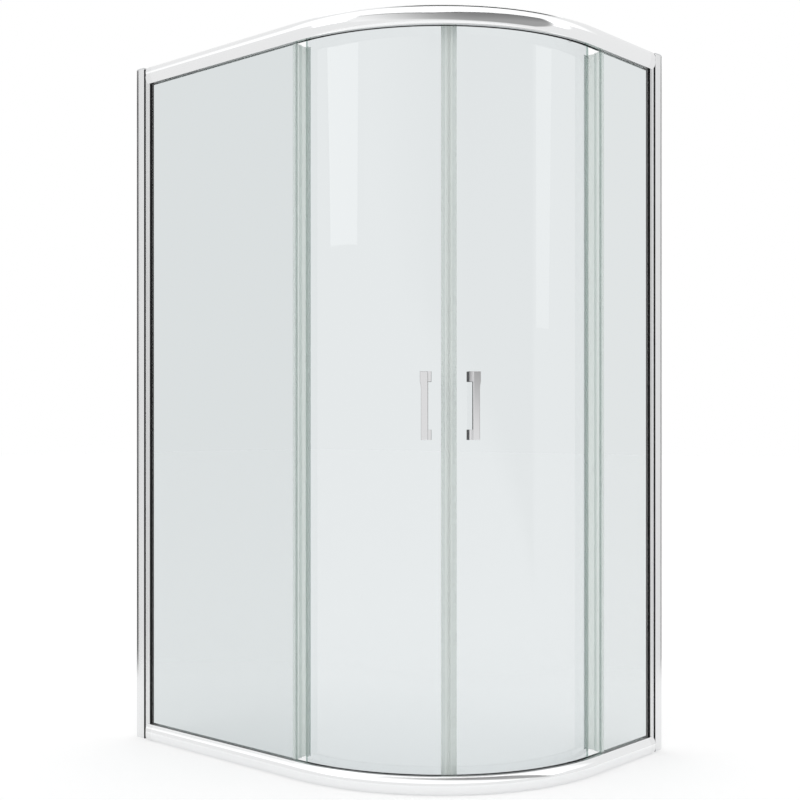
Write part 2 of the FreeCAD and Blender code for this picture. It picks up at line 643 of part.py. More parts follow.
def make_trailing_seal(door):
    """The clear seal on the trailing edge, with a fin that hooks behind the fixed panel's fin."""
    skin = EDGE_SEAL_SKIN
    end = door.trail - door.toward * glass_angle(EDGE_SEAL_NOSE)
    grip = door.trail + door.toward * glass_angle(EDGE_SEAL_GRIP)
    seal = ring(DOOR_GLASS_DEPTH - skin, DOOR_GLASS_INNER + skin, SEAL_BOTTOM, SEAL_TOP, end, grip)
    past = door.trail + door.toward * glass_angle(2 * EDGE_SEAL_GRIP)
    seal = seal.cut(ring(DOOR_GLASS_DEPTH, DOOR_GLASS_INNER,
                         SEAL_BOTTOM - OVERSHOOT, SEAL_TOP + OVERSHOOT, door.trail, past))
    root = DOOR_GLASS_DEPTH - skin / 2
    fin = face([
        (0, root),
        (0, DOOR_FIN_DEPTH),
        (FIN_THICK, DOOR_FIN_DEPTH),
        (2 * FIN_THICK, root),
    ], corner_place(end, door.toward, SEAL_BOTTOM)).extrude(UP * (SEAL_TOP - SEAL_BOTTOM))
    save(f"trailing_seal_{door.name}", [seal.fuse(fin)])


def make_drip_seal(door):
    """The clear seal under the glass, between the two bottom rollers."""
    ends = ROLLER_ANGLES[door.name]
    start = ends["trail"] + door.toward * glass_angle(DRIP_SEAL_END_GAP)
    stop = ends["lead"] - door.toward * glass_angle(DRIP_SEAL_END_GAP)
    skin = EDGE_SEAL_SKIN
    top = DRIP_SEAL_FLOOR_GAP + DRIP_SEAL_HEIGHT
    seal = ring(DOOR_GLASS_DEPTH - skin, DOOR_GLASS_INNER + skin, DRIP_SEAL_FLOOR_GAP, top, start, stop)
    slot = ring(DOOR_GLASS_DEPTH, DOOR_GLASS_INNER, DOOR_FLOOR_GAP, top + OVERSHOOT, start, stop)
    save(f"drip_seal_{door.name}", [seal.cut(slot)])


def make_rollers(door):
    """Four nylon wheels, with their axle screws, spacer bushes through the glass and room side caps."""
    pane = curved_pane(door)
    axles = []
    bushes = []
    caps = []
    for spot, angle, level, depth in door.roller_spots():
        front = depth - ROLLER_WIDTH / 2
        back = depth + ROLLER_WIDTH / 2
        wheel = pin(angle, level, ROLLER_RADIUS, front, back)
        wheel = wheel.makeChamfer(ROLLER_EDGE, wheel.Edges)
        faces = (
            (front - OVERSHOOT, front + ROLLER_HUB_RECESS),
            (back - ROLLER_HUB_RECESS, back + OVERSHOOT),
        )
        for near, far in faces:
            recess = pin(angle, level, ROLLER_RADIUS - ROLLER_RIM, near, far)
            wheel = wheel.cut(recess.cut(pin(angle, level, ROLLER_HUB_RADIUS, near, far)))
        wheel_bore = AXLE_RADIUS + ROLLER_BORE_GAP
        wheel = wheel.cut(pin(angle, level, wheel_bore, front - OVERSHOOT, back + OVERSHOOT))
        save(f"roller_{door.name}_{spot}", [wheel])

        head_back = front - ROLLER_SIDE_GAP
        axle_end = DOOR_GLASS_INNER + AXLE_END
        head = pin(angle, level, AXLE_HEAD_RADIUS, head_back - AXLE_HEAD_THICK, head_back)
        axles.append(head.fuse(pin(angle, level, AXLE_RADIUS, head_back, axle_end)))

        flange = DOOR_GLASS_DEPTH - BUSH_FLANGE_THICK
        barrel = pin(angle, level, ROLLER_HOLE_RADIUS - BUSH_GAP, flange, DOOR_GLASS_INNER)
        collar = pin(angle, level, BUSH_FLANGE_RADIUS, flange, DOOR_GLASS_DEPTH + GLASS_THICK / 2).cut(pane)
        sleeve = pin(angle, level, BUSH_RADIUS, back + ROLLER_SIDE_GAP, flange)
        bore = pin(angle, level, AXLE_RADIUS, front, axle_end + OVERSHOOT)
        bushes.append(sleeve.fuse([collar, barrel]).cut(bore))

        cap = pin(angle, level, ROLLER_CAP_RADIUS, DOOR_GLASS_INNER, DOOR_GLASS_INNER + ROLLER_CAP_THICK)
        cap = rounded_ends(cap, ROLLER_CAP_ROUND, inward(angle))
        socket = pin(angle, level, AXLE_RADIUS, DOOR_GLASS_INNER - OVERSHOOT, axle_end)
        caps.append(cap.cut([pane, socket]))
    save(f"roller_axles_{door.name}", axles)
    save(f"roller_bushes_{door.name}", bushes)
    save(f"roller_caps_{door.name}", caps)


def make_handle(door):
    """The pull outside the glass: a flat bar with a flared head on two feet, bolted to two knobs inside."""
    back = DOOR_GLASS_DEPTH - HANDLE_STANDOFF
    front = back - HANDLE_THICK
    half = HANDLE_WIDTH / 2
    flare = half + HANDLE_FLARE
    neck = HANDLE_TOP - HANDLE_HEAD
    upright_place = corner_place(door.handle, door.toward, 0)
    outline = face([
        (half, HANDLE_BOTTOM),
        (half, HANDLE_TOP),
        (-flare, HANDLE_TOP),
        (-flare, neck),
        (-half - HANDLE_FLARE / 3, neck - HANDLE_HEAD / 3, "arc"),
        (-half, neck - HANDLE_HEAD),
        (-half, HANDLE_BOTTOM),
    ], lambda step, level: upright_place(step, front) + UP * level)
    bar = outline.extrude(inward(door.handle) * HANDLE_THICK)
    bar = rounded_ends(bar, HANDLE_ROUND, -inward(door.handle))

    seat = DOOR_GLASS_DEPTH - HANDLE_WASHER
    knob_seat = DOOR_GLASS_INNER + HANDLE_WASHER
    pane = curved_pane(door)
    feet = []
    bolts = []
    washers = []
    knobs = []
    for level in HANDLE_BOLT_LEVELS:
        section = rectangle(-half, back, half + FOOT_BEYOND, seat)
        place = corner_place(door.handle, door.toward, level - HANDLE_HEAD / 2)
        foot = face(section, place).extrude(UP * HANDLE_HEAD)
        foot_end = seat - HANDLE_BOLT_REACH
        bolt = pin(door.handle, level, HANDLE_BOLT_RADIUS, foot_end, knob_seat + KNOB_BOLT_REACH)
        feet.append(foot.cut(bolt))
        bolts.append(bolt)
        for near, far in ((seat, DOOR_GLASS_DEPTH + HANDLE_WASHER), (DOOR_GLASS_INNER, knob_seat)):
            washer = pin(door.handle, level, HANDLE_WASHER_RADIUS, near, far)
            washers.append(washer.cut([pane, bolt]))
        knob = pin(door.handle, level, KNOB_RADIUS, knob_seat, knob_seat + KNOB_THICK)
        knobs.append(rounded_ends(knob, KNOB_ROUND, inward(door.handle)).cut(bolt))
    save(f"handle_bar_{door.name}", [bar])
    save(f"handle_feet_{door.name}", feet)
    save(f"handle_bolts_{door.name}", bolts)
    save(f"handle_washers_{door.name}", washers)
    save(f"handle_knobs_{door.name}", knobs)


def make_door_stops():
    """The rubber bumpers on the tracks that the trailing rollers meet when the doors are open."""
    top_track = TOP_RAIL_TOP - TRACK_DROP
    bumpers = []
    for side, door_name in (("long", "a"), ("short", "b")):
        near = STOP_RUN[door_name]
        outer = CHANNEL_OUTER + STOP_SIDE_GAP
        inner = CHANNEL_INNER - STOP_SIDE_GAP
        section = rectangle(near - STOP_LENGTH, outer, near, inner)
        bumpers.append(upright(side, section, top_track, top_track + STOP_HEIGHT))
        bumpers.append(upright(side, section, TRACK_DROP - STOP_HEIGHT, TRACK_DROP))
    save("door_stops", bumpers)


for rail_level in ("top", "bottom"):
    make_rail(rail_level)
    make_glazing_gasket(rail_level)
    for panel_side in ("long", "short"):
        make_rail_end_piece(panel_side, rail_level)

for panel_side in ("long", "short"):
    make_wall_profile(panel_side)
    make_adjusting_profile(panel_side)
    make_wall_gasket(panel_side)
    make_fixed_glass(panel_side)
    make_fixed_edge_seal(panel_side)
make_profile_caps()
make_profile_wipers()
make_side_screws()
make_door_stops()

for door_name in ("a", "b"):
    each_door = Door(door_name)
    make_door_glass(each_door)
    make_magnetic_seal(each_door)
    make_trailing_seal(each_door)
    make_drip_seal(each_door)
    make_rollers(each_door)
    make_handle(each_door)
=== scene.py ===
import math

import bpy
import numpy as np
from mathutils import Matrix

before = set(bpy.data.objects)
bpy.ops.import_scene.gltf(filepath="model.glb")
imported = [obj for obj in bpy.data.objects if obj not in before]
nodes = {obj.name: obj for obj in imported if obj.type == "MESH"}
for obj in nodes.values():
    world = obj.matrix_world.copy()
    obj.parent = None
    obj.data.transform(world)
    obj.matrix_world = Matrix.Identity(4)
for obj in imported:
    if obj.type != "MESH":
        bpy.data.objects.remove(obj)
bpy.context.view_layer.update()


# ---------------------------------------------------------------- wall channels
# A straight aluminium channel is screwed to each wall. It is drawn through a die, polished
# and clear anodised, which leaves fine lines along it and a soft mirror finish.

NOISE_MIDDLE = (0.3, 0.7)       # where most of a noise's values lie
DIE_LINE_SCALE = 900
DIE_LINE_STRENGTH = 0.05
DIE_LINE_DEPTH = 0.0002
CLOUD_SCALE = 6
CLOUD_ROUGHNESS = (-0.03, 0.05)
LINES_UPRIGHT = (1, 1, 0.01)


def new_material(name):
    """A material with an empty node tree."""
    material = bpy.data.materials.new(name)
    material.use_nodes = True
    material.node_tree.nodes.clear()
    return material


def add(tree, kind, inputs=None, **settings):
    """A new node with its settings, and for each input a value or another node's socket."""
    node = tree.nodes.new("ShaderNode" + kind)
    for name, value in settings.items():
        setattr(node, name, value)
    for name, value in (inputs or {}).items():
        if isinstance(value, bpy.types.NodeSocket):
            tree.links.new(value, node.inputs[name])
        else:
            node.inputs[name].default_value = value
    return node


def show(material, shader):
    """A shader's socket as the material's surface."""
    add(material.node_tree, "OutputMaterial", {"Surface": shader})


def principled(material, colour, roughness, **inputs):
    """The surface of a solid material; an input's name has _ for each space."""
    shader = add(material.node_tree, "BsdfPrincipled", {
        "Base Color": (*colour, 1), "Roughness": roughness,
        **{name.replace("_", " "): value for name, value in inputs.items()}})
    show(material, shader.outputs["BSDF"])
    return shader


def noise(material, scale, detail=2.0, stretch=(1, 1, 1)):
    """Noise on Object coordinates, drawn out along an axis by a small stretch on it."""
    tree = material.node_tree
    place = add(tree, "TexCoord").outputs["Object"]
    drawn_out = add(tree, "Mapping", {"Vector": place, "Scale": stretch}).outputs["Vector"]
    texture = add(tree, "TexNoise", {"Vector": drawn_out, "Scale": scale, "Detail": detail})
    return texture.outputs["Fac"]


def ramp(tree, value, span, ends=(0.0, 1.0), interpolation="LINEAR"):
    """A value carried from a span to a pair of ends, and held at them outside the span."""
    return add(tree, "MapRange", {
        "Value": value, "From Min": span[0], "From Max": span[1],
        "To Min": ends[0], "To Max": ends[1]}, interpolation_type=interpolation).outputs["Result"]


def vary(material, texture, ends, shader, socket):
    """A texture's middle range carried to a range of values on a shader's socket."""
    tree = material.node_tree
    tree.links.new(ramp(tree, texture, NOISE_MIDDLE, ends), shader.inputs[socket])


def emboss(material, texture, strength, depth, shader):
    """A texture as a fine relief."""
    tree = material.node_tree
    bump = add(tree, "Bump", {"Height": texture, "Strength": strength, "Distance": depth})
    tree.links.new(bump.outputs["Normal"], shader.inputs["Normal"])


def dress(material, *names):
    """The material in every slot of CAD nodes."""
    for name in names:
        for place in nodes[name].material_slots:
            place.material = material


def anodised(name, colour, roughness, stretch):
    """Polished and clear anodised aluminium, with die lines along the stretched axis."""
    material = new_material(name)
    shader = principled(material, colour, roughness, Metallic=1.0)
    cloudy = [roughness + change for change in CLOUD_ROUGHNESS]
    vary(material, noise(material, CLOUD_SCALE), cloudy, shader, "Roughness")
    lines = noise(material, DIE_LINE_SCALE, 1.0, stretch)
    emboss(material, lines, DIE_LINE_STRENGTH, DIE_LINE_DEPTH, shader)
    return material


channel_metal = anodised("channel_aluminium", colour=(0.81, 0.815, 0.82), roughness=0.16,
                         stretch=LINES_UPRIGHT)
dress(channel_metal, "wall_profile_long", "wall_profile_short")


# ---------------------------------------------------------------- adjusting profiles
# The profile that slides in each channel is satin anodised, a little greyer than the channel.
# It holds the edge of the fixed glass.

slider_metal = anodised("slider_aluminium", colour=(0.73, 0.735, 0.74), roughness=0.24,
                        stretch=LINES_UPRIGHT)
dress(slider_metal, "adjusting_profile_long", "adjusting_profile_short")


# ---------------------------------------------------------------- caps of the channels
# Moulded plastic in the metal's grey, with a fine spark texture from the mould. The caps are
# pushed into the channels' tops, and the covers are snapped over the side screws.

SPARK_SCALE = 2500
SPARK_STRENGTH = 0.08
SPARK_DEPTH = 0.0001
CAP_ROUGHNESS = (0.3, 0.42)
CAP_PATCHES = 40

cap_plastic = new_material("cap_plastic")
cap_shader = principled(cap_plastic, colour=(0.62, 0.63, 0.64), roughness=0.35)
emboss(cap_plastic, noise(cap_plastic, SPARK_SCALE, 1.0), SPARK_STRENGTH, SPARK_DEPTH, cap_shader)
vary(cap_plastic, noise(cap_plastic, CAP_PATCHES), CAP_ROUGHNESS, cap_shader, "Roughness")
dress(cap_plastic, "wall_profile_caps", "side_screw_covers")


# ---------------------------------------------------------------- black gaskets and lips
# Extruded black rubber, matt with a faint bloom: the gaskets that hold the glass in the adjusting
# profiles, and the lips at the channels' mouths. The lips' black is partly painted shade: it
# stands in for the shadow in the gap between each channel and its adjusting profile.

RUBBER_BLOOM = ((0.004, 0.004, 0.005), (0.011, 0.011, 0.012))
BLOOM_SCALE = 60
BLOOM_STRETCH = (1, 1, 0.1)
RUBBER_LINE_SCALE = 1800
RUBBER_LINE_STRETCH = (1, 1, 0.05)
RUBBER_LINE_STRENGTH = 0.1
RUBBER_LINE_DEPTH = 0.0001


def tint(material, texture, colours, shader):
    """A texture as a blend of a dark and a light colour on a shader's base colour."""
    tree = material.node_tree
    dark, light = colours
    blend = add(tree, "Mix", {"Factor": texture, "A": (*dark, 1), "B": (*light, 1)},
                data_type="RGBA")
    tree.links.new(blend.outputs["Result"], shader.inputs["Base Color"])


black_rubber = new_material("black_rubber")
rubber_shader = principled(black_rubber, colour=(0.006, 0.006, 0.007), roughness=0.5,
                           Specular_IOR_Level=0.12)
tint(black_rubber, noise(black_rubber, BLOOM_SCALE, 3.0, BLOOM_STRETCH), RUBBER_BLOOM,
     rubber_shader)
emboss(black_rubber, noise(black_rubber, RUBBER_LINE_SCALE, 1.0, RUBBER_LINE_STRETCH),
       RUBBER_LINE_STRENGTH, RUBBER_LINE_DEPTH, rubber_shader)
# the black of the profile wipers is painted shade for the gap between channel and adjusting
# profile
dress(black_rubber, "wall_gasket_long", "wall_gasket_short", "profile_wipers")


# ---------------------------------------------------------------- curved rails
# One extruded section, bent round the corner and polished, is the top rail, and turned over
# it is the bottom one. Its ends are moulded pieces with a metallised finish.

def named(*starts):
    """The CAD nodes whose names start with any of these words."""
    return [name for name in nodes if name.startswith(starts)]


rail_metal = anodised("rail_aluminium", colour=(0.90, 0.905, 0.91), roughness=0.09,
                      stretch=(0.02, 0.02, 1))
dress(rail_metal, "top_rail", "bottom_rail")

end_metal = anodised("metallised_end_piece", colour=(0.86, 0.865, 0.87), roughness=0.08,
                     stretch=(1, 1, 1))
dress(end_metal, *named("rail_end_piece"))


# ---------------------------------------------------------------- glass
# Clear toughened glass 6 mm thick, flat in the fixed panels and bent in the doors. The faces
# mirror a little and are faintly wavy from the furnace; the ground edges look green.

BEND_CENTRE = (0.0525, 0.0975, 0)
FACE_FROM = 0.7                 # how squarely a face looks across the pane; less is an edge
MIRROR_ROUGHNESS = 0.02
MIRROR_LIFT = 1.8
GLASS_IOR = 1.45
WAVE_SCALE = 2.5
WAVE_STRETCH = (1, 1, 0.35)
WAVE_STRENGTH = 0.1
WAVE_DEPTH = 0.002
EDGE_CLEAR = (0.72, 0.84, 0.80, 1)
EDGE_GROUND = (0.52, 0.64, 0.60, 1)
EDGE_ROUGHNESS = 0.4
EDGE_SOLID = 0.55


def arithmetic(tree, operation, result, *others):
    """Numbers or sockets put through an operation, one after the other."""
    for other in others or (0.0,):
        result = add(tree, "Math", {0: result, 1: other}, operation=operation).outputs[0]
    return result


def reach(tree, place, direction):
    """How far a place or a direction reaches along another direction: their dot product."""
    return add(tree, "VectorMath", {0: place, 1: direction},
               operation="DOT_PRODUCT").outputs["Value"]


def mixed(tree, share, first, second):
    """One shader with a share of a second one."""
    return add(tree, "MixShader", {0: share, 1: first, 2: second}).outputs["Shader"]


def toughened(name, across, tone):
    """Thin glass: see-through faces with a mirror on the near one, and green ground edges.

    across gives the direction through the pane, or None for a pane bent round the corner.
    tone is what one face lets through.
    """
    material = new_material(name)
    tree = material.node_tree
    surface = add(tree, "TexCoord").outputs
    if across is None:
        radial = add(tree, "VectorMath", {0: surface["Object"], 1: BEND_CENTRE},
                     operation="SUBTRACT")
        level = add(tree, "VectorMath", {0: radial.outputs["Vector"], 1: (1, 1, 0)},
                    operation="MULTIPLY")
        across = add(tree, "VectorMath", {0: level.outputs["Vector"]},
                     operation="NORMALIZE").outputs["Vector"]
    squareness = arithmetic(tree, "ABSOLUTE", reach(tree, surface["Normal"], across))
    is_face = arithmetic(tree, "GREATER_THAN", squareness, FACE_FROM)

    clear = add(tree, "BsdfTransparent", {"Color": (*tone, 1)})
    mirror = add(tree, "BsdfGlossy", {"Roughness": MIRROR_ROUGHNESS})
    emboss(material, noise(material, WAVE_SCALE, 1.0, WAVE_STRETCH), WAVE_STRENGTH, WAVE_DEPTH,
           mirror)
    fresnel = add(tree, "Fresnel", {"IOR": GLASS_IOR}).outputs[0]
    near = arithmetic(tree, "SUBTRACT", 1, add(tree, "NewGeometry").outputs["Backfacing"])
    shine = arithmetic(tree, "MULTIPLY", fresnel, near, MIRROR_LIFT)
    shine.node.use_clamp = True
    faces = mixed(tree, shine, clear.outputs["BSDF"], mirror.outputs["BSDF"])

    edge_clear = add(tree, "BsdfTransparent", {"Color": EDGE_CLEAR})
    edge_ground = add(tree, "BsdfPrincipled",
                      {"Base Color": EDGE_GROUND, "Roughness": EDGE_ROUGHNESS})
    edges = mixed(tree, EDGE_SOLID, edge_clear.outputs["BSDF"], edge_ground.outputs["BSDF"])
    show(material, mixed(tree, is_face, edges, faces))
    return material


flat_glass_long = toughened("flat_glass_long", across=(0, 1, 0), tone=(0.842, 0.864, 0.868))
dress(flat_glass_long, "fixed_glass_long")
flat_glass_short = toughened("flat_glass_short", across=(1, 0, 0), tone=(0.870, 0.890, 0.893))
dress(flat_glass_short, "fixed_glass_short")
bent_glass = toughened("bent_glass", across=None, tone=(0.889, 0.907, 0.912))
dress(bent_glass, "door_glass_a", "door_glass_b")


# ---------------------------------------------------------------- clear seals
# Translucent soft plastic, extruded: gaskets in the rails' slots, finned edge seals, door
# sweeps and the jackets of the magnets, and moulded for the handles' washers. It is milky, and
# darker where it is seen along a wall; the jackets are paler.

SEAL_CLEAR = (0.93, 0.955, 0.945, 1)
SEAL_ROUGHNESS = 0.3
SEAL_IOR = 1.45
SEAL_LINE_SCALE = 1500
SEAL_LINE_STRETCH = (1, 1, 0.01)
SEAL_LINE_STRENGTH = 0.02
SEAL_LINE_DEPTH = 0.0001
SEAL_GLANCE = 0.35
SEAL_SOLID_AT_GLANCE = 0.85


def milky(name, colour, deep, solid):
    """Cloudy plastic: part passes straight through, and less of it at a glancing view.

    colour is what it scatters where it is faced, deep where it is seen along; solid is the
    share that it scatters where it is faced.
    """
    material = new_material(name)
    tree = material.node_tree
    glance = add(tree, "LayerWeight", {"Blend": SEAL_GLANCE}).outputs["Facing"]
    blend = add(tree, "Mix", {"Factor": glance, "A": (*colour, 1), "B": (*deep, 1)},
                data_type="RGBA")
    shader = add(tree, "BsdfPrincipled", {
        "Base Color": blend.outputs["Result"], "Roughness": SEAL_ROUGHNESS, "IOR": SEAL_IOR})
    emboss(material, noise(material, SEAL_LINE_SCALE, 1.0, SEAL_LINE_STRETCH),
           SEAL_LINE_STRENGTH, SEAL_LINE_DEPTH, shader)
    clear = add(tree, "BsdfTransparent", {"Color": SEAL_CLEAR})
    share = ramp(tree, glance, (0.0, 1.0), (solid, SEAL_SOLID_AT_GLANCE))
    show(material, mixed(tree, share, clear.outputs["BSDF"], shader.outputs["BSDF"]))
    return material


edge_seal = milky("milky_seal", colour=(0.86, 0.905, 0.885), deep=(0.50, 0.57, 0.55), solid=0.28)
dress(edge_seal, *named("glazing_gasket", "fixed_edge_seal", "trailing_seal", "drip_seal",
                        "handle_washers"))
meeting_seal = milky("pale_seal", colour=(0.95, 0.965, 0.96), deep=(0.78, 0.82, 0.81), solid=0.3)
dress(meeting_seal, *named("magnetic_seal"))


# ---------------------------------------------------------------- magnet strips
# A pale flexible magnet, extruded, is pushed into the leading edge seal of each door, and shows
# through its clear jacket where the doors meet.

magnet_strip = new_material("magnet_strip")
magnet_shader = principled(magnet_strip, colour=(0.83, 0.86, 0.845), roughness=0.5)
tint(magnet_strip, noise(magnet_strip, scale=30, stretch=(1, 1, 0.2)),
     ((0.80, 0.835, 0.82), (0.86, 0.885, 0.87)), magnet_shader)
dress(magnet_strip, "magnet_strip_a", "magnet_strip_b")


# ---------------------------------------------------------------- rollers
# White nylon wheels turn on steel screws, in nylon bushes through the glass. The bumpers on
# the tracks are grey rubber. The handles' bolts and the side screws are of the same steel.

nylon = new_material("white_nylon")
nylon_shader = principled(nylon, colour=(0.78, 0.78, 0.76), roughness=0.4)
tint(nylon, noise(nylon, scale=90), ((0.74, 0.74, 0.72), (0.80, 0.80, 0.78)), nylon_shader)
dress(nylon, *named("roller_a_", "roller_b_", "roller_bushes"))

steel = new_material("turned_steel")
steel_shader = principled(steel, colour=(0.60, 0.60, 0.60), roughness=0.3, Metallic=1.0)
vary(steel, noise(steel, scale=400), (0.24, 0.38), steel_shader, "Roughness")
dress(steel, *named("roller_axles", "handle_bolts"), "side_screws")

stop_rubber = new_material("grey_rubber")
stop_shader = principled(stop_rubber, colour=(0.09, 0.09, 0.09), roughness=0.7)
tint(stop_rubber, noise(stop_rubber, scale=200), ((0.08, 0.08, 0.08), (0.11, 0.11, 0.11)),
     stop_shader)
dress(stop_rubber, "door_stops")


# ---------------------------------------------------------------- handles
# Each door has a flat bar on two feet outside and two round knobs inside, all cast in zinc
# and chromed. The rollers' caps on the room side have the same finish.

chrome = new_material("polished_chrome")
chrome_shader = principled(chrome, colour=(0.78, 0.78, 0.79), roughness=0.08, Metallic=1.0)
vary(chrome, noise(chrome, scale=25), (0.06, 0.12), chrome_shader, "Roughness")
dress(chrome, *named("handle_bar", "handle_feet", "handle_knobs", "roller_caps"))


# ---------------------------------------------------------------- floor
# A plain white floor that holds the object's shadow. Its glow is for the camera, mirrors and
# glass only, so it lights nothing. Mirrors see it near the object, and through it further out.

FLOOR_REACH = 30.0
FLOOR_COLOUR = (0.8, 0.8, 0.8, 1)
FLOOR_GLOW = 0.25
FLOOR_MIRRORED = (1.6, 2.0)     # from the middle, where it fades from mirrors


def plate(name, corners, material):
    """A flat piece of the studio."""
    mesh = bpy.data.meshes.new(name)
    mesh.from_pydata(corners, [], [range(len(corners))])
    mesh.materials.append(material)
    piece = bpy.data.objects.new(name, mesh)
    bpy.context.scene.collection.objects.link(piece)
    return piece


floor_paint = new_material("floor_paint")
floor_tree = floor_paint.node_tree
floor_ray = add(floor_tree, "LightPath").outputs
floor_seen = arithmetic(floor_tree, "MAXIMUM", floor_ray["Is Camera Ray"],
                        floor_ray["Is Glossy Ray"], floor_ray["Is Transmission Ray"])
floor_diffuse = add(floor_tree, "BsdfDiffuse", {"Color": FLOOR_COLOUR})
floor_glow = add(floor_tree, "Emission", {
    "Strength": arithmetic(floor_tree, "MULTIPLY", floor_seen, FLOOR_GLOW)})
floor_lit = add(floor_tree, "AddShader", {
    0: floor_diffuse.outputs["BSDF"], 1: floor_glow.outputs["Emission"]})
floor_place = add(floor_tree, "TexCoord").outputs["Object"]
floor_distance = add(floor_tree, "VectorMath", {0: floor_place}, operation="LENGTH")
floor_left_out = arithmetic(
    floor_tree, "MULTIPLY", ramp(floor_tree, floor_distance.outputs["Value"], FLOOR_MIRRORED),
    floor_ray["Is Glossy Ray"])
floor_clear = add(floor_tree, "BsdfTransparent")
show(floor_paint, mixed(floor_tree, floor_left_out, floor_lit.outputs["Shader"],
                        floor_clear.outputs["BSDF"]))
plate("floor", [(-FLOOR_REACH, -FLOOR_REACH, 0), (FLOOR_REACH, -FLOOR_REACH, 0),
                (FLOOR_REACH, FLOOR_REACH, 0), (-FLOOR_REACH, FLOOR_REACH, 0)], floor_paint)


# ---------------------------------------------------------------- surround
# White all round to the camera and through glass. Mirrors also see it brighter above the
# front, dark behind at the object's level, which outlines the upright channels, and a narrow
# dark flag overhead, which draws a line along the top rail.

FRONT = (0.6725, -0.7400, 0)    # from the enclosure's curve out into the room
SIDE = (0.7400, 0.6725, 0)      # level, to the right of one who faces the curve
SURROUND_LIGHT = 0.95
SURROUND_MIRRORED = 0.90

ABOVE_LIFT = 0.30
ABOVE_FRONT = (-0.3, -0.1)
ABOVE_RISE = (0.3, 0.4)

OUTLINE_DROP = 0.80
OUTLINE_BACK = (0.36, 0.46)
OUTLINE_SIDE = 0.16
OUTLINE_RISE = (0.26, 0.32)

FLAG_LEAST_RISE = 0.01
FLAG_NEAR = (0.08, 0.15)
FLAG_FAR = (0.45, 0.55)
FLAG_LEFT = (-0.22, -0.02)
FLAG_RIGHT = (1.6, 1.85)
FLAG_RIGHT_SLANT = 2.0
FLAG_BOW = 1.45
FLAG_RISE = (0.3, 0.4)

world = bpy.data.worlds.new("surround")
bpy.context.scene.world = world
world.use_nodes = True
sky = world.node_tree
sky.nodes.clear()


def smooth(tree, value, span, ends=(0.0, 1.0)):
    """A ramp that starts and stops gently."""
    return ramp(tree, value, span, ends, "SMOOTHSTEP")


direction = add(sky, "TexCoord").outputs["Generated"]
frontness = reach(sky, direction, FRONT)
behind = arithmetic(sky, "MULTIPLY", frontness, -1.0)
sideness = reach(sky, direction, SIDE)
rise = add(sky, "SeparateXYZ", {0: direction}).outputs["Z"]

lift = arithmetic(sky, "MULTIPLY", smooth(sky, frontness, ABOVE_FRONT),
                  smooth(sky, rise, ABOVE_RISE))

level = smooth(sky, arithmetic(sky, "ABSOLUTE", rise), OUTLINE_RISE, (1.0, 0.0))
outline_back = arithmetic(sky, "SUBTRACT", behind,
                          arithmetic(sky, "MULTIPLY", sideness, OUTLINE_SIDE))
outline = arithmetic(sky, "MULTIPLY", smooth(sky, outline_back, OUTLINE_BACK), level)

# the flag lies on a level plane overhead, where a direction meets it at (flag_side, flag_back)
over = arithmetic(sky, "MAXIMUM", rise, FLAG_LEAST_RISE)
flag_back = arithmetic(sky, "DIVIDE", behind, over)
flag_side = arithmetic(sky, "DIVIDE", sideness, over)
flag_bow = arithmetic(sky, "MULTIPLY", flag_side, flag_side, FLAG_BOW)
flag_reach = arithmetic(sky, "SUBTRACT", flag_back, flag_bow)
flag_slant = arithmetic(sky, "ADD", flag_back,
                        arithmetic(sky, "MULTIPLY", flag_side, FLAG_RIGHT_SLANT))
flag_depth = arithmetic(sky, "SUBTRACT", smooth(sky, flag_reach, FLAG_NEAR),
                        smooth(sky, flag_reach, FLAG_FAR))
flag = arithmetic(sky, "MULTIPLY", flag_depth, smooth(sky, flag_side, FLAG_LEFT),
                  smooth(sky, rise, FLAG_RISE), smooth(sky, flag_slant, FLAG_RIGHT, (1.0, 0.0)))

mirrored = arithmetic(sky, "ADD", SURROUND_MIRRORED,
                      arithmetic(sky, "MULTIPLY", lift, ABOVE_LIFT))
mirrored = arithmetic(sky, "SUBTRACT", mirrored,
                      arithmetic(sky, "MULTIPLY", outline, OUTLINE_DROP))
mirrored = arithmetic(sky, "MULTIPLY", mirrored, arithmetic(sky, "SUBTRACT", 1.0, flag))

sky_ray = add(sky, "LightPath").outputs
glossy = sky_ray["Is Glossy Ray"]
straight = arithmetic(sky, "MAXIMUM", sky_ray["Is Camera Ray"], sky_ray["Is Transmission Ray"])
diffuse = arithmetic(sky, "SUBTRACT", 1.0, arithmetic(sky, "MAXIMUM", glossy, straight))
strength = arithmetic(sky, "ADD", arithmetic(sky, "MULTIPLY", glossy, mirrored), straight,
                      arithmetic(sky, "MULTIPLY", diffuse, SURROUND_LIGHT))
backdrop = add(sky, "Background", {"Color": (1, 1, 1, 1), "Strength": strength})
add(sky, "OutputWorld", {0: backdrop.outputs[0]})


# ---------------------------------------------------------------- grey board
# A board that only mirrors see stands in front of the curve, and gives the polished rails the
# grey band that they show in a studio. It is darker to the right and along its upper edge, and
# fades into the surround at its foot and at its right end.

CROWN = (0.419, -0.306, 0)      # where the rails' curve comes nearest to the camera
BOARD_AWAY = 0.7
BOARD_LEFT, BOARD_RIGHT = -1.0, 2.2
BOARD_FOOT_LEFT, BOARD_FOOT_RIGHT = 1.45, 0.05
BOARD_DIP, BOARD_DIP_TOP = -0.05, 2.12
BOARD_SLOPE = 0.5               # of the upper edge, both ways from the dip
BOARD_SHADES = (0.90, 0.24)
BOARD_SHADE_SPAN = (-0.9, 0.4)
BOARD_LOWER_LIFT = 0.14
BOARD_LOWER_SPAN = (0.2, 1.2)   # below the upper edge
BOARD_EDGE_DARK = 0.2
BOARD_EDGE_SPAN = (0.02, 0.14)  # below the upper edge
BOARD_FOOT_FADE = 0.3
BOARD_RIGHT_FADE = 0.4

crown, front, side = np.array(CROWN), np.array(FRONT), np.array(SIDE)
foot_slope = (BOARD_FOOT_RIGHT - BOARD_FOOT_LEFT) / (BOARD_RIGHT - BOARD_LEFT)

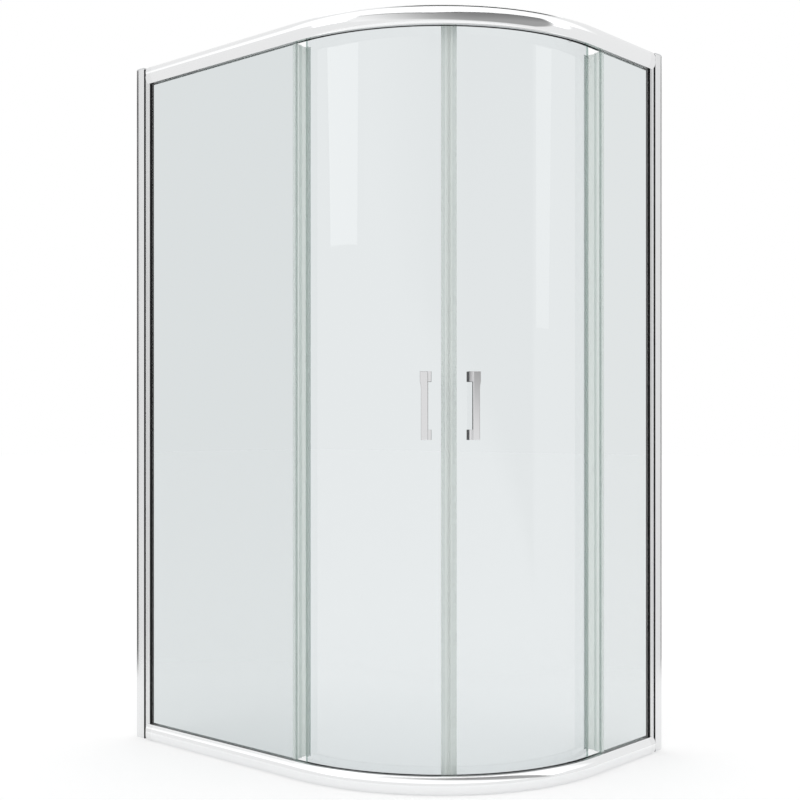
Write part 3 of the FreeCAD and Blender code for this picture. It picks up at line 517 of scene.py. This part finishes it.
board_paint = new_material("grey_board")
board_tree = board_paint.node_tree
board_place = add(board_tree, "TexCoord").outputs["Object"]
board_rise = add(board_tree, "SeparateXYZ", {0: board_place}).outputs["Z"]
along = arithmetic(board_tree, "SUBTRACT", reach(board_tree, board_place, SIDE),
                   float(crown @ side))
from_dip = arithmetic(board_tree, "ABSOLUTE",
                      arithmetic(board_tree, "SUBTRACT", along, BOARD_DIP))
top_edge = arithmetic(board_tree, "ADD", BOARD_DIP_TOP,
                      arithmetic(board_tree, "MULTIPLY", from_dip, BOARD_SLOPE))
foot_edge = arithmetic(board_tree, "ADD", BOARD_FOOT_LEFT - foot_slope * BOARD_LEFT,
                       arithmetic(board_tree, "MULTIPLY", along, foot_slope))
below_top = arithmetic(board_tree, "SUBTRACT", top_edge, board_rise)
above_foot = arithmetic(board_tree, "SUBTRACT", board_rise, foot_edge)

shade = arithmetic(board_tree, "ADD", smooth(board_tree, along, BOARD_SHADE_SPAN, BOARD_SHADES),
                   smooth(board_tree, below_top, BOARD_LOWER_SPAN, (0.0, BOARD_LOWER_LIFT)))
shade = arithmetic(board_tree, "MULTIPLY", shade,
                   smooth(board_tree, below_top, BOARD_EDGE_SPAN, (BOARD_EDGE_DARK, 1.0)))
fade = arithmetic(
    board_tree, "MAXIMUM", smooth(board_tree, above_foot, (0.0, BOARD_FOOT_FADE), (1.0, 0.0)),
    smooth(board_tree, along, (BOARD_RIGHT - BOARD_RIGHT_FADE, BOARD_RIGHT)))
shade = arithmetic(
    board_tree, "ADD",
    arithmetic(board_tree, "MULTIPLY", shade, arithmetic(board_tree, "SUBTRACT", 1.0, fade)),
    arithmetic(board_tree, "MULTIPLY", fade, SURROUND_MIRRORED))
show(board_paint, add(board_tree, "Emission", {"Strength": shade}).outputs["Emission"])


def board_top(run):
    """The height of the board's upper edge, a shallow V with its point at the dip."""
    return BOARD_DIP_TOP + BOARD_SLOPE * abs(run - BOARD_DIP)


board_foot = crown + front * BOARD_AWAY
board_outline = ((BOARD_LEFT, BOARD_FOOT_LEFT), (BOARD_LEFT, board_top(BOARD_LEFT)),
                 (BOARD_DIP, BOARD_DIP_TOP), (BOARD_RIGHT, board_top(BOARD_RIGHT)),
                 (BOARD_RIGHT, BOARD_FOOT_RIGHT))
board = plate("grey_board", [tuple(board_foot + side * run + (0, 0, height))
                             for run, height in board_outline], board_paint)
board.visible_camera = False
board.visible_diffuse = False
board.visible_transmission = False
board.visible_shadow = False


# ---------------------------------------------------------------- lamps and camera
# Two soft lamps shine on the object, one in front at the left and one at the right, and the
# camera stands level with the handles.

LAMPS_AIM = (0, 0, 0.9)
CAMERA_PLACE = (2.3221, -2.6541, 0.8903)
CAMERA_TURN = 42.26
CAMERA_SHIFT = (0.037, 0.0302)
CAMERA_LENS = 56.93
CAMERA_SENSOR = 36


def lamp(name, place, size, power):
    """A rectangular soft lamp aimed at the middle of the object."""
    data = bpy.data.lights.new(name, "AREA")
    data.shape = "RECTANGLE"
    data.size, data.size_y = size
    data.energy = power
    light = bpy.data.objects.new(name, data)
    bpy.context.scene.collection.objects.link(light)
    aim = np.subtract(LAMPS_AIM, place)
    tilt = math.acos(-aim[2] / np.linalg.norm(aim))
    light.location = place
    light.rotation_euler = (tilt, 0, math.atan2(aim[1], aim[0]) - math.pi / 2)


lamp("key", place=(-1.08, -4.16, 3.05), size=(1.6, 2.4), power=13)
lamp("fill", place=(4.0, 1.0, 2.6), size=(2.0, 2.5), power=10)

view = bpy.data.cameras.new("view")
view.sensor_width = CAMERA_SENSOR
view.lens = CAMERA_LENS
view.shift_x, view.shift_y = CAMERA_SHIFT
camera = bpy.data.objects.new("view", view)
bpy.context.scene.collection.objects.link(camera)
camera.location = CAMERA_PLACE
camera.rotation_euler = (math.radians(90), 0, math.radians(CAMERA_TURN))
bpy.context.scene.camera = camera
bpy.context.scene.view_settings.view_transform = "Standard"
